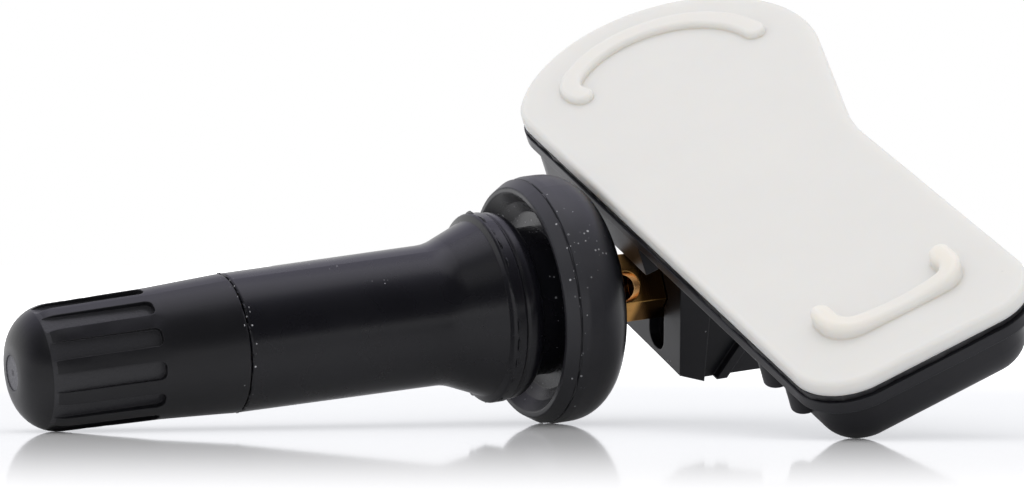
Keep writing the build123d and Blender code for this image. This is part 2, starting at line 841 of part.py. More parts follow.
# Battery: coin cell in the lobe, its smaller pole down, with a welded tab on each side
with BuildPart() as battery:
    with BuildSketch(HOUSING.offset(battery_underside)):
        with Locations((lobe_x, lobe_y)):
            Circle(battery_radius - battery_can_inset)
    extrude(amount=battery_can_step)
    with BuildSketch(HOUSING.offset(battery_underside + battery_can_step)):
        with Locations((lobe_x, lobe_y)):
            Circle(battery_radius)
    extrude(amount=battery_height - battery_can_step)
    fillet(battery.faces().sort_by(OUT_OF_COVER)[-1].edges(), battery_round)

board_edge_x = lobe_x + battery_radius + board_battery_gap
with BuildPart() as positive_tab:
    with BuildSketch(HOUSING.offset(board_top)):
        with Locations((lobe_x, lobe_y)):
            Circle(tab_width)
            Rectangle(board_edge_x + tab_lap - lobe_x, tab_width, align=(Align.MIN, Align.CENTER))
    extrude(amount=tab_thickness)

across_cover = HOUSING.y_dir
with BuildPart() as negative_tab:
    strip_plane = Plane(HOUSING.from_local_coords((0, negative_tab_y, 0)), x_dir=along, z_dir=-across_cover)
    leg_back = negative_leg_x + tab_thickness
    foot_end = leg_back + tab_lap
    with BuildSketch(strip_plane):
        Polygon(
            (lobe_x, cavity_floor),
            (leg_back, cavity_floor),
            (leg_back, board_underside - tab_thickness),
            (foot_end, board_underside - tab_thickness),
            (foot_end, board_underside),
            (negative_leg_x, board_underside),
            (negative_leg_x, battery_underside),
            (lobe_x, battery_underside),
            align=None,
        )
    extrude(amount=tab_width / 2, both=True)

# Sensing chip under the board, and the gasket that seals it to the port in the tub's floor
with BuildPart() as pressure_chip:
    with BuildSketch(HOUSING.offset(chip_underside)):
        with Locations((chip_x, chip_y)):
            Rectangle(chip_size, chip_size)
    extrude(amount=chip_height)
    with BuildSketch(HOUSING.offset(chip_underside)):
        with Locations((chip_x, chip_y)):
            Circle(chip_port_radius)
    extrude(amount=chip_height / 2, mode=Mode.SUBTRACT)

with BuildPart() as port_gasket:
    with BuildSketch(HOUSING.offset(cavity_floor)):
        with Locations((chip_x, chip_y)):
            Circle(gasket_radius)
            Circle(gasket_bore_radius, mode=Mode.SUBTRACT)
    extrude(amount=chip_underside - cavity_floor)

# Receiver coil: ferrite bobbin and its winding, lying along the board
coil_middle = (coil_x - coil_length / 2, coil_y, board_underside - coil_height / 2)
COIL = Plane(HOUSING.from_local_coords(coil_middle), x_dir=across_cover, z_dir=along)
with BuildPart() as coil_core:
    with BuildSketch(COIL):
        Rectangle(coil_waist, coil_waist)
    extrude(amount=coil_length)
    with BuildSketch(COIL, COIL.offset(coil_length - coil_flange)):
        Rectangle(coil_width, coil_height)
    extrude(amount=coil_flange)

with BuildPart() as coil_winding:
    with BuildSketch(COIL.offset(coil_flange + bond_gap)):
        RectangleRounded(coil_waist + 2 * winding_wall, coil_waist + 2 * winding_wall, winding_wall)
        Rectangle(coil_waist + 2 * bond_gap, coil_waist + 2 * bond_gap, mode=Mode.SUBTRACT)
    extrude(amount=coil_length - 2 * coil_flange - 2 * bond_gap)

# Radio parts under the board: crystal can, stamped antenna bridge and chip capacitors
with BuildPart() as crystal:
    with BuildSketch(HOUSING.offset(board_underside - crystal_height)):
        with Locations((crystal_x, crystal_y)):
            RectangleRounded(crystal_length, crystal_width, crystal_height / 2)
    extrude(amount=crystal_height)

bridge_foot = (antenna_x - antenna_width / 2, antenna_y, board_underside - antenna_drop / 2)
with BuildPart() as antenna:
    with BuildSketch(Plane(HOUSING.from_local_coords(bridge_foot), x_dir=across_cover, z_dir=along)):
        Rectangle(antenna_span, antenna_drop)
        with Locations((0, antenna_thickness)):
            Rectangle(antenna_span - 2 * antenna_thickness, antenna_drop, mode=Mode.SUBTRACT)
    extrude(amount=antenna_width)

with BuildPart() as chip_capacitors:
    with BuildSketch(HOUSING.offset(board_underside - capacitor_height)):
        with Locations(*capacitor_places):
            Rectangle(capacitor_length, capacitor_width)
    extrude(amount=capacitor_height)

pieces = {
    "valve_cap": valve_cap,
    "cap_seal": cap_seal,
    "rubber_stem": rubber_stem,
    "brass_stem": brass_stem,
    "core_plug": core_plug,
    "core_barrel": core_barrel,
    "core_seal": core_seal,
    "core_pin": core_pin,
    "core_cup": core_cup,
    "core_cup_seal": core_cup_seal,
    "core_spring": core_spring,
    "mounting_screw": mounting_screw,
    "sensor_housing": sensor_housing,
    "cover": cover,
    "circuit_board": circuit_board,
    "battery": battery,
    "positive_tab": positive_tab,
    "negative_tab": negative_tab,
    "pressure_chip": pressure_chip,
    "port_gasket": port_gasket,
    "coil_core": coil_core,
    "coil_winding": coil_winding,
    "crystal": crystal,
    "antenna": antenna,
    "chip_capacitors": chip_capacitors,
}
os.makedirs("parts", exist_ok=True)
for name, piece in pieces.items():
    piece.part.label = name
    export_step(piece.part, f"parts/{name}.step")
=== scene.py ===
import json
import math
import random

import bmesh
import bpy
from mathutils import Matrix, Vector


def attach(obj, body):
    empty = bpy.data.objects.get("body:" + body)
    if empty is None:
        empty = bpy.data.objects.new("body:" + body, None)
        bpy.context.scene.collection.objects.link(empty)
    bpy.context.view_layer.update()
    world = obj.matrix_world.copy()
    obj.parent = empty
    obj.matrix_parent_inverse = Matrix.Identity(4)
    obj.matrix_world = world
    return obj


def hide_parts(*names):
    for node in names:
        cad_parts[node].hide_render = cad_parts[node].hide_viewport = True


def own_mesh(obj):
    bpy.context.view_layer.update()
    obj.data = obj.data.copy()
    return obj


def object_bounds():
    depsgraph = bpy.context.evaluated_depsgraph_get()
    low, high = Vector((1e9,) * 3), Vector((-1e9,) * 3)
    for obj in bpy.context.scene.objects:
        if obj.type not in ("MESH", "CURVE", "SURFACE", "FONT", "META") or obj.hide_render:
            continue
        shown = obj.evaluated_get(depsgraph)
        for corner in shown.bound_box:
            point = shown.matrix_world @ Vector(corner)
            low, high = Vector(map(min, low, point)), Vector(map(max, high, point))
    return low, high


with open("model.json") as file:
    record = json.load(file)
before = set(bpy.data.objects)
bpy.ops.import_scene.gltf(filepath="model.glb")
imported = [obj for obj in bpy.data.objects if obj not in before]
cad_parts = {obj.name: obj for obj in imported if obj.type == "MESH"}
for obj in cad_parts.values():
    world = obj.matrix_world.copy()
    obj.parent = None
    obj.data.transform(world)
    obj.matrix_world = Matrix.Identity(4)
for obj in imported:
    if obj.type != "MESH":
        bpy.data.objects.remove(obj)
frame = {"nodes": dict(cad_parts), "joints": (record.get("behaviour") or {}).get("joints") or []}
cad_low, cad_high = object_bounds()
nodes = frame["nodes"]
joints = {joint["name"]: joint for joint in frame["joints"]}
scene = bpy.context.scene
scene.view_settings.view_transform = "Standard"

# Table and camera: the sensor lies on a white polished table, on its cap, its flange and a corner of its
# tub. The camera stands level with it, far off, with a long lens.
lens_mm, sensor_mm, near_clip = 158.2, 36.0, 0.01
camera_spot = Vector((-0.13849, -0.31868, 0.00426))
camera_turn = math.radians(23.5)
ahead = Vector((math.sin(camera_turn), math.cos(camera_turn), 0))
camera_data = bpy.data.cameras.new("camera")
camera_data.lens = lens_mm
camera_data.sensor_width = sensor_mm
camera_data.clip_start = near_clip
camera = bpy.data.objects.new("camera", camera_data)
camera.location = camera_spot
camera.rotation_mode = "QUATERNION"
camera.rotation_quaternion = ahead.to_track_quat("-Z", "Y")
scene.collection.objects.link(camera)
scene.camera = camera

table_half, table_height = 3.0, cad_low.z
table_corners = [(-1, -1), (1, -1), (1, 1), (-1, 1)]
table_points = [(x * table_half, y * table_half, table_height) for x, y in table_corners]
table_mesh = bpy.data.meshes.new("table")
table_mesh.from_pydata(table_points, [], [(0, 1, 2, 3)])
table = bpy.data.objects.new("table", table_mesh)
scene.collection.objects.link(table)


def is_output(source):
    """Whether a socket's source is another node's output, given as (node, output)."""
    return isinstance(source, tuple) and isinstance(source[0], bpy.types.Node)


def feed(tree, source, socket):
    """Gives a socket another node's output or a constant."""
    if is_output(source):
        node, output = source
        tree.links.new(node.outputs[output], socket)
    else:
        socket.default_value = source


def put(tree, kind, sockets=None, **settings):
    """Adds a node to a tree. Its sockets are fed by name or number, its settings are its own properties."""
    node = tree.nodes.new(kind)
    for name, value in settings.items():
        setattr(node, name, value)
    for socket, source in (sockets or {}).items():
        feed(tree, source, node.inputs[socket])
    return node


def worked_out(tree, operation, *values):
    """The result of one sum, from constants or outputs."""
    return put(tree, "ShaderNodeMath", dict(enumerate(values)), operation=operation), "Value"


def ramp(tree, value, start, end, low=0.0, high=1.0, ease="LINEAR"):
    """A value that goes from low to high while another goes from start to end."""
    sockets = {"Value": value, "From Min": start, "From Max": end, "To Min": low, "To Max": high}
    return put(tree, "ShaderNodeMapRange", sockets, interpolation_type=ease), "Result"


def tinted(tree, share, plain, other):
    """A colour that goes from plain to other with a share."""
    node = put(tree, "ShaderNodeMix", data_type="RGBA")
    feed(tree, share, node.inputs["Factor"])
    for socket, colour in (("A", plain), ("B", other)):
        feed(tree, colour if is_output(colour) else (*colour, 1), node.inputs[socket])
    return node, "Result"


def measured_along(tree, spot, direction):
    """How far a spot lies along a direction, from the origin."""
    return put(tree, "ShaderNodeVectorMath", {0: spot, 1: direction}, operation="DOT_PRODUCT"), "Value"


camera_depth = camera_spot.dot(ahead)
dull_depth, polished_depth = camera_depth + 0.250, camera_depth + 0.325
least_polish, most_polish = 0.04, 0.62
mirror_reach, mirror_end = 0.08, 0.16
glow_start, glow_full, least_glow = 0.06, 0.25, 0.07
steep_shine, glancing_shine = 0.05, 0.72
table_white, table_white_in_gloss = (0.88, 0.88, 0.89), (0.72, 0.72, 0.74)
lacquer_index, lacquer_tint, lacquer_roughness = 1.5, (0.955, 0.965, 1.0, 1), 0.045

table_finish = bpy.data.materials.new("polished white table")
table_finish.use_nodes = True
tree = table_finish.node_tree
tree.nodes.clear()
path = put(tree, "ShaderNodeLightPath")
spot = put(tree, "ShaderNodeTexCoord"), "Object"
away = put(tree, "ShaderNodeVectorMath", {0: spot}, operation="LENGTH"), "Value"
whiteness = tinted(tree, (path, "Is Glossy Ray"), table_white, table_white_in_gloss)
white = put(tree, "ShaderNodeBsdfDiffuse", {"Color": whiteness})
far_off = ramp(tree, away, glow_start, glow_full, least_glow, 1.0, "SMOOTHSTEP")
seen = worked_out(tree, "MAXIMUM", (path, "Is Camera Ray"), (path, "Is Glossy Ray"))
lift = worked_out(tree, "MULTIPLY", seen, far_off)
glow = put(tree, "ShaderNodeEmission", {"Color": (1, 1, 1, 1), "Strength": lift})
lit = put(tree, "ShaderNodeAddShader", {0: (white, "BSDF"), 1: (glow, "Emission")})
depth = measured_along(tree, spot, ahead)
polish = ramp(tree, depth, dull_depth, polished_depth, least_polish, most_polish, "SMOOTHSTEP")
near_by = ramp(tree, away, mirror_reach, mirror_end, 1.0, 0.0, "SMOOTHSTEP")
polished = worked_out(tree, "MULTIPLY", polish, near_by)
glancing = put(tree, "ShaderNodeFresnel", {"IOR": lacquer_index}), "Fac"
shine = ramp(tree, glancing, steep_shine, glancing_shine)
share = worked_out(tree, "MULTIPLY", polished, shine)
mirror = put(tree, "ShaderNodeBsdfGlossy", {"Color": lacquer_tint, "Roughness": lacquer_roughness})
blend = put(tree, "ShaderNodeMixShader", {"Fac": share, 1: (lit, "Shader"), 2: (mirror, "BSDF")})
put(tree, "ShaderNodeOutputMaterial", {"Surface": (blend, "Shader")})
table_mesh.materials.append(table_finish)

# Studio: a white surround, soft lamps overhead and even light. What mirrors in the gloss is white behind the
# table, cooler and dimmer higher up, and a dim room behind the camera.
even_light, seen_white = 0.86, 1.0
room_edge, white_edge, room_level = -0.6, 0.35, 0.03
overhead_edge, overhead_full, overhead_level = 0.2, 0.85, 0.85
plain_light, cool_light = (1, 1, 1), (0.82, 0.79, 1.0)


def mixed(tree, share, plain, other):
    """A number that goes from plain to other with a share."""
    node = put(tree, "ShaderNodeMix", data_type="FLOAT")
    for socket, number in (("Factor", share), ("A", plain), ("B", other)):
        feed(tree, number, node.inputs[socket])
    return node, "Result"


world = bpy.data.worlds.new("studio")
scene.world = world
world.use_nodes = True
tree = world.node_tree
tree.nodes.clear()
path = put(tree, "ShaderNodeLightPath")
direction = put(tree, "ShaderNodeTexCoord"), "Generated"
facing = measured_along(tree, direction, ahead)
surround = ramp(tree, facing, room_edge, white_edge, room_level, 1.0, "SMOOTHSTEP")
height = put(tree, "ShaderNodeSeparateXYZ", {"Vector": direction}), "Z"
overhead = ramp(tree, height, overhead_edge, overhead_full, ease="SMOOTHSTEP")
dimmer = ramp(tree, overhead, 0.0, 1.0, 1.0, overhead_level)
mirrored = worked_out(tree, "MULTIPLY", surround, dimmer)
in_gloss = worked_out(tree, "MAXIMUM", (path, "Is Glossy Ray"), (path, "Is Transmission Ray"))
lights = mixed(tree, in_gloss, even_light, mirrored)
level = mixed(tree, (path, "Is Camera Ray"), lights, seen_white)
dim_room = worked_out(tree, "SUBTRACT", 1.0, surround)
cooler = worked_out(tree, "MAXIMUM", overhead, dim_room)
cool = worked_out(tree, "MULTIPLY", cooler, in_gloss)
tint = tinted(tree, cool, plain_light, cool_light)
sky = put(tree, "ShaderNodeBackground", {"Color": tint, "Strength": level})
put(tree, "ShaderNodeOutputWorld", {"Surface": (sky, "Background")})


def soft_lamp(name, place, size, watts, colour):
    """A square soft box that looks at the sensor."""
    lamp = bpy.data.lights.new(name, "AREA")
    lamp.shape = "SQUARE"
    lamp.size = size
    lamp.energy = watts
    lamp.color = colour
    box = bpy.data.objects.new(name, lamp)
    box.location = place
    box.rotation_mode = "QUATERNION"
    box.rotation_quaternion = (-Vector(place)).to_track_quat("-Z", "Y")
    scene.collection.objects.link(box)


soft_lamp("overhead_box", place=(-0.02, 0.02, 0.55), size=0.45, watts=0.5, colour=(0.97, 0.96, 1.0))
soft_lamp("front_box", place=(-0.36, -0.36, 0.48), size=0.35, watts=0.2, colour=(0.98, 0.98, 1.0))

# Brass stem: one turned bar, drilled through for the air, with a milled hexagon at the inner end and a
# rolled thread for the cap at the outer end. Inside the housing its colour is darkened, as painted shade for
# the cradle's shade.
to_cap = Vector(joints["cap_lift"]["axis"]).normalized()
number, vector = "NodeSocketFloat", "NodeSocketVector"


def shared_effect(name, inputs, outputs):
    """A node group with number or direction inputs at their usual values and the named outputs."""
    group = bpy.data.node_groups.new(name, "ShaderNodeTree")
    for label, usual in inputs.items():
        kind = number if isinstance(usual, float) else vector
        socket = group.interface.new_socket(label, in_out="INPUT", socket_type=kind)
        socket.default_value = usual
    for label, kind in outputs.items():
        group.interface.new_socket(label, in_out="OUTPUT", socket_type=kind)
    return group, group.nodes.new("NodeGroupInput"), group.nodes.new("NodeGroupOutput")


def noise(tree, spot, scale, detail):
    """A cloudy value over the surface."""
    return put(tree, "ShaderNodeTexNoise", {"Vector": spot, "Scale": scale, "Detail": detail}), "Fac"


sharp_edge, rubbed_edge = 0.995, 0.8
worn_edges, given, result = shared_effect(
    "worn edges", {"Radius": 0.0002}, {"Mask": number, "Normal": vector}
)
softened = put(worn_edges, "ShaderNodeBevel", {"Radius": (given, "Radius")}, samples=6), "Normal"
flat = put(worn_edges, "ShaderNodeNewGeometry"), "Normal"
turned = measured_along(worn_edges, softened, flat)
feed(worn_edges, ramp(worn_edges, turned, sharp_edge, rubbed_edge), result.inputs["Mask"])
feed(worn_edges, softened, result.inputs["Normal"])

tool_marks, given, result = shared_effect(
    "tool marks", {"Pitch": 0.0001, "Waver": 0.3, "Axis": to_cap}, {"Height": number, "Tone": number}
)
spot = put(tool_marks, "ShaderNodeTexCoord"), "Object"
station = measured_along(tool_marks, spot, (given, "Axis"))
count = worked_out(tool_marks, "DIVIDE", station, (given, "Pitch"))
drift = noise(tool_marks, spot, scale=900.0, detail=3.0)
shaken = worked_out(tool_marks, "MULTIPLY_ADD", drift, (given, "Waver"), count)
feed(tool_marks, worked_out(tool_marks, "SINE", shaken), result.inputs["Height"])
feed(tool_marks, drift, result.inputs["Tone"])

along_valve, given, result = shared_effect("along the valve", {"From": 0.0, "To": 0.01}, {"Mask": number})
spot = put(along_valve, "ShaderNodeTexCoord"), "Object"
station = measured_along(along_valve, spot, to_cap)
passed = ramp(along_valve, station, (given, "From"), (given, "To"), ease="SMOOTHSTEP")
feed(along_valve, passed, result.inputs["Mask"])


def finish_for(name, metal, specular):
    """A new material, its tree and its surface shader."""
    finish = bpy.data.materials.new(name)
    finish.use_nodes = True
    shader = finish.node_tree.nodes["Principled BSDF"]
    shader.inputs["Metallic"].default_value = metal
    shader.inputs["Specular IOR Level"].default_value = specular
    return finish, finish.node_tree, shader


def use(tree, effect, **values):
    """Places a shared effect in a tree with its own values."""
    node = tree.nodes.new("ShaderNodeGroup")
    node.node_tree = effect
    for name, value in values.items():
        feed(tree, value, node.inputs[name])
    return node


def dress(name, finish):
    """Gives a node of the frame its finish."""
    skin = nodes[name].data
    skin.materials.clear()
    skin.materials.append(finish)


metal_edge = 0.00012
edge_gain, painted_shade_level = 1.06, 0.16
white_glint, own_glint = 0.65, 0.35
smoothest_mark, roughest_mark = 0.75, 1.35
mark_strength = 0.5


def metal_finish(name, bright, dull, roughness, pitch, mark_depth, axis=to_cap, painted_shade=None):
    """Machined or rolled metal: tool marks along an axis, a slight tarnish, bright rubbed edges and, where it
    has one, painted shade that darkens the colour from one station along the valve to another."""
    finish, tree, shader = finish_for(name, metal=1.0, specular=0.5)
    glint = [white_glint + own_glint * part / max(bright) for part in bright]
    shader.inputs["Specular Tint"].default_value = (*glint, 1)
    marks = use(tree, tool_marks, Pitch=pitch, Axis=axis)
    edges = use(tree, worn_edges, Radius=metal_edge)
    tone = marks, "Tone"
    colour = tinted(tree, tone, bright, dull)
    # painted shade: the colour darkens between two stations along the valve
    if painted_shade:
        painted_shade_mask = use(tree, along_valve, From=painted_shade[0], To=painted_shade[1]), "Mask"
        colour = tinted(tree, painted_shade_mask, colour, [part * painted_shade_level for part in dull])
    rubbed = [min(1.0, part * edge_gain) for part in bright]
    colour = tinted(tree, (edges, "Mask"), colour, rubbed)
    gloss = ramp(tree, tone, 0.0, 1.0, roughness * smoothest_mark, roughness * roughest_mark)
    relief = put(
        tree,
        "ShaderNodeBump",
        {
            "Strength": mark_strength,
            "Distance": mark_depth,
            "Height": (marks, "Height"),
            "Normal": (edges, "Normal"),
        },
    )
    feed(tree, colour, shader.inputs["Base Color"])
    feed(tree, gloss, shader.inputs["Roughness"])
    feed(tree, (relief, "Normal"), shader.inputs["Normal"])
    return finish


brass_finish = metal_finish(
    "machined brass",
    bright=(0.98, 0.56, 0.18),
    dull=(0.72, 0.36, 0.10),
    roughness=0.2,
    pitch=0.00003,
    mark_depth=0.0000015,
    # painted shade: the brass darkens where it goes into the shaded cradle
    painted_shade=(-0.0094, -0.0102),
)
dress("brass_stem", brass_finish)

# Valve thread: the ridges that the cap runs on, rolled into the brass bar with 32 turns to the inch. They
# fade in and out over half a turn.
thread_pitch = 0.0254 / 32
thread_foot, thread_end = 0.0240, 0.0346
thread_root, thread_crest = 0.00344, 0.00384
root_lean, crest_lean = 0.48, 0.06
thread_sides = 48
thread_run = 0.5
across = to_cap.cross(Vector((0, 1, 0))).normalized()
beside = to_cap.cross(across)


def round_the_valve(radius, turn, station):
    """Point at a radius, an angle round the valve's axis and a station along it."""
    return to_cap * station + (across * math.cos(turn) + beside * math.sin(turn)) * radius


def swept_faces(rows, width, closed):
    """Faces that join each row of points to the next, all round the row. An open run gets an end face on each
    side, and a closed one joins its last row to its first."""
    faces = []
    for row in range(rows if closed else rows - 1):
        base, onward = width * row, width * ((row + 1) % rows)
        for edge in range(width):
            other = (edge + 1) % width
            faces.append((base + edge, base + other, onward + other, onward + edge))
    if not closed:
        faces.append(tuple(range(width)))
        faces.append(tuple(range(width * (rows - 1), width * rows)))
    return faces


def piece_from(name, points, faces, finish, body):
    """A new piece of the sensor that moves with a body."""
    mesh = bpy.data.meshes.new(name)
    mesh.from_pydata(points, [], faces)
    mesh.validate()
    body_of_mesh = bmesh.new()
    body_of_mesh.from_mesh(mesh)
    bmesh.ops.recalc_face_normals(body_of_mesh, faces=body_of_mesh.faces)
    body_of_mesh.to_mesh(mesh)
    body_of_mesh.free()
    mesh.materials.append(finish)
    piece = bpy.data.objects.new(name, mesh)
    scene.collection.objects.link(piece)
    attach(piece, body)
    return piece


thread_turns = (thread_end - thread_foot) / thread_pitch - 1
thread_rows = int(thread_turns * thread_sides) + 1
points = []
for row in range(thread_rows):
    turn = row / thread_sides
    fade = min(1.0, turn / thread_run, (thread_turns - turn) / thread_run)
    crest = thread_root + (thread_crest - thread_root) * max(0.0, fade)
    middle = thread_foot + (turn + 0.5) * thread_pitch
    section = ((thread_root, -root_lean), (crest, -crest_lean), (crest, crest_lean), (thread_root, root_lean))
    for radius, lean in section:
        points.append(round_the_valve(radius, 2 * math.pi * turn, middle + lean * thread_pitch))
faces = swept_faces(thread_rows, width=4, closed=False)
piece_from("valve_thread", points, faces, brass_finish, "sensor")

# Rubber stem: black rubber moulded round the brass in one shot, smooth where the die was polished, duller
# and dusty on the flange that seals on the wheel, whose outer faces are also lightened, partly as the
# rubber's blooming and partly as painted sheen.
speck_falloff = 3.0
dust_lines = (("Seam", 0.0006, 0.4), ("Ridge", 0.0007, 0.4), ("Crown", 0.003, 0.12))
settled_dust, given, result = shared_effect(
    "settled dust",
    {"Spread": 1100.0, "Speck": 0.16, "Share": 0.5, "Seam": 1.0, "Ridge": 1.0, "Crown": 1.0},
    {"Mask": number},
)
spot = put(settled_dust, "ShaderNodeTexCoord"), "Object"
cells = put(settled_dust, "ShaderNodeTexVoronoi", {"Vector": spot, "Scale": (given, "Spread")}, feature="F1")
chance = put(settled_dust, "ShaderNodeSeparateColor", {"Color": (cells, "Color")})
smaller = worked_out(settled_dust, "POWER", (chance, "Red"), speck_falloff)
size = worked_out(settled_dust, "MULTIPLY", smaller, (given, "Speck"))
speck = worked_out(settled_dust, "LESS_THAN", (cells, "Distance"), size)
station = measured_along(settled_dust, spot, to_cap)
gathered = noise(settled_dust, spot, scale=160.0, detail=2.0)
for line, width, gain in dust_lines:
    away = worked_out(settled_dust, "SUBTRACT", station, (given, line))
    far = worked_out(settled_dust, "ABSOLUTE", away)
    near = ramp(settled_dust, far, 0.0, width, gain, 0.0)
    gathered = worked_out(settled_dust, "ADD", gathered, near)
chosen = worked_out(settled_dust, "GREATER_THAN", gathered, (given, "Share"))
kept = worked_out(settled_dust, "MULTIPLY", speck, chosen)
faint = worked_out(settled_dust, "MULTIPLY", kept, (chance, "Green"))
feed(settled_dust, faint, result.inputs["Mask"])

moulded_skin, given, result = shared_effect(
    "moulded skin", {"Grain": 5000.0, "Cloud": 220.0}, {"Height": number, "Tone": number}
)
spot = put(moulded_skin, "ShaderNodeTexCoord"), "Object"
feed(moulded_skin, noise(moulded_skin, spot, (given, "Grain"), detail=2.0), result.inputs["Height"])
feed(moulded_skin, noise(moulded_skin, spot, (given, "Cloud"), detail=4.0), result.inputs["Tone"])


def measured_off(tree, spot, axis):
    """How far a spot lies off an axis through the origin."""
    swept = put(tree, "ShaderNodeVectorMath", {0: spot, 1: axis}, operation="CROSS_PRODUCT"), "Vector"
    return put(tree, "ShaderNodeVectorMath", {0: swept}, operation="LENGTH"), "Value"


# The flange's outer faces, more where they face upward, get a lighter bluish tint: partly the rubber's
# whitish blooming, partly a painted sheen of the light from above.
bloom_and_sheen_end, bloom_and_sheen_full = -0.0058, -0.0042
underside, upside, underside_bloom_and_sheen = -0.5, 0.3, 0.15
bloom_and_painted_sheen, given, result = shared_effect("flange bloom", {"From": 0.0074, "To": 0.0086}, {"Mask": number})
spot = put(bloom_and_painted_sheen, "ShaderNodeTexCoord"), "Object"
out_there = ramp(bloom_and_painted_sheen, measured_off(bloom_and_painted_sheen, spot, to_cap), (given, "From"), (given, "To"))
flat = put(bloom_and_painted_sheen, "ShaderNodeNewGeometry"), "Normal"
upwards = put(bloom_and_painted_sheen, "ShaderNodeSeparateXYZ", {"Vector": flat}), "Z"
# upward faces get more of the tint: painted sheen where the overhead light falls
settled = ramp(bloom_and_painted_sheen, upwards, underside, upside, underside_bloom_and_sheen, 1.0)
lies = worked_out(bloom_and_painted_sheen, "MULTIPLY", out_there, settled)
before_back = use(bloom_and_painted_sheen, along_valve, From=bloom_and_sheen_end, To=bloom_and_sheen_full), "Mask"
feed(bloom_and_painted_sheen, worked_out(bloom_and_painted_sheen, "MULTIPLY", lies, before_back), result.inputs["Mask"])

dust_tint = (0.42, 0.42, 0.44)
glossiest_cloud, dullest_cloud = 0.85, 1.2
grain_strength = 0.6


def moulding_finish(
    name, dark, light, roughness, specular, grain, grain_depth, edge_radius, edge_tint, dust, patch=None
):
    """Moulded rubber or plastic: fine grain, cloudy tone, rubbed edges, settled dust and, where it has one, a
    patch with its own tint, roughness and coarseness of grain, where a shared effect puts it."""
    finish, tree, shader = finish_for(name, metal=0.0, specular=specular)
    skin = use(tree, moulded_skin, Grain=grain)
    tone, height = (skin, "Tone"), (skin, "Height")
    colour = tinted(tree, tone, dark, light)
    gloss = ramp(tree, tone, 0.0, 1.0, roughness * glossiest_cloud, roughness * dullest_cloud)
    if patch:
        there = use(tree, patch["effect"]), "Mask"
        colour = tinted(tree, there, colour, patch["tint"])
        gloss = mixed(tree, there, gloss, patch["roughness"])
        coarser = ramp(tree, there, 0.0, 1.0, 1.0, patch["grain"])
        height = worked_out(tree, "MULTIPLY", height, coarser)
    rim = use(tree, worn_edges, Radius=edge_radius)
    colour = tinted(tree, (rim, "Mask"), colour, edge_tint)
    specks = use(tree, settled_dust, **dust), "Mask"
    colour = tinted(tree, specks, colour, dust_tint)
    relief = put(
        tree,
        "ShaderNodeBump",
        {"Strength": grain_strength, "Distance": grain_depth, "Height": height, "Normal": (rim, "Normal")},
    )
    feed(tree, colour, shader.inputs["Base Color"])
    feed(tree, gloss, shader.inputs["Roughness"])
    feed(tree, (relief, "Normal"), shader.inputs["Normal"])
    return finish


stem_end, parting_ridge, flange_crown = 0.02335, -0.0017, -0.0035
rubber_finish = moulding_finish(
    "moulded rubber",
    dark=(0.004, 0.004, 0.0058),
    light=(0.008, 0.008, 0.011),
    roughness=0.27,
    specular=0.42,
    grain=6000.0,
    grain_depth=0.000004,
    edge_radius=0.0001,
    edge_tint=(0.016, 0.016, 0.018),
    dust={
        "Spread": 3200.0,
        "Speck": 0.32,
        "Share": 0.64,
        "Seam": stem_end,
        "Ridge": parting_ridge,
        "Crown": flange_crown,
    },
    # lighter bluish flange tint: partly blooming, partly painted sheen
    patch={"effect": bloom_and_painted_sheen, "tint": (0.038, 0.038, 0.044), "roughness": 0.42, "grain": 1.6},
)
dress("rubber_stem", rubber_finish)

# Flash: thin ragged skins of rubber that squeezed into the die's joints, round the flange's parting groove,
# on the bead and on the stem's end under the cap. They were torn off by hand, so they vary round the ring.
flash_sides = 220
wave_count, fewest_waves, most_waves = 9, 2, 30
tear_gain, tatter = 1.6, 0.12


def ragged_ring(name, seed, foot, crest, stations, coverage):
    """A torn ring of rubber round the valve, from a foot radius up to at most a crest radius."""
    chance = random.Random(seed)
    waves = [
        (chance.randint(fewest_waves, most_waves), chance.uniform(0, 2 * math.pi)) for _ in range(wave_count)
    ]
    back, front = stations
    points = []
    for side in range(flash_sides):
        turn = 2 * math.pi * side / flash_sides
        swell = sum(math.sin(count * turn + start) for count, start in waves) / wave_count
        rise = min(1.0, max(0.0, swell + coverage) * tear_gain + chance.uniform(0, tatter))
        top = foot + (crest - foot) * rise
        for radius, station in ((foot, back), (top, back), (top, front), (foot, front)):
            points.append(round_the_valve(radius, turn, station))
    faces = swept_faces(flash_sides, width=4, closed=True)
    piece_from(name, points, faces, rubber_finish, "sensor")


ragged_ring(
    "ridge_flash", seed=3, foot=0.00925, crest=0.00954, stations=(-0.00166, -0.00154), coverage=0.25
)
ragged_ring("bead_flash", seed=11, foot=0.00722, crest=0.00770, stations=(0.00262, 0.00272), coverage=0.12)
ragged_ring("stem_end_flash", seed=8, foot=0.00505, crest=0.00534, stations=(0.02330, 0.02341), coverage=0.15)

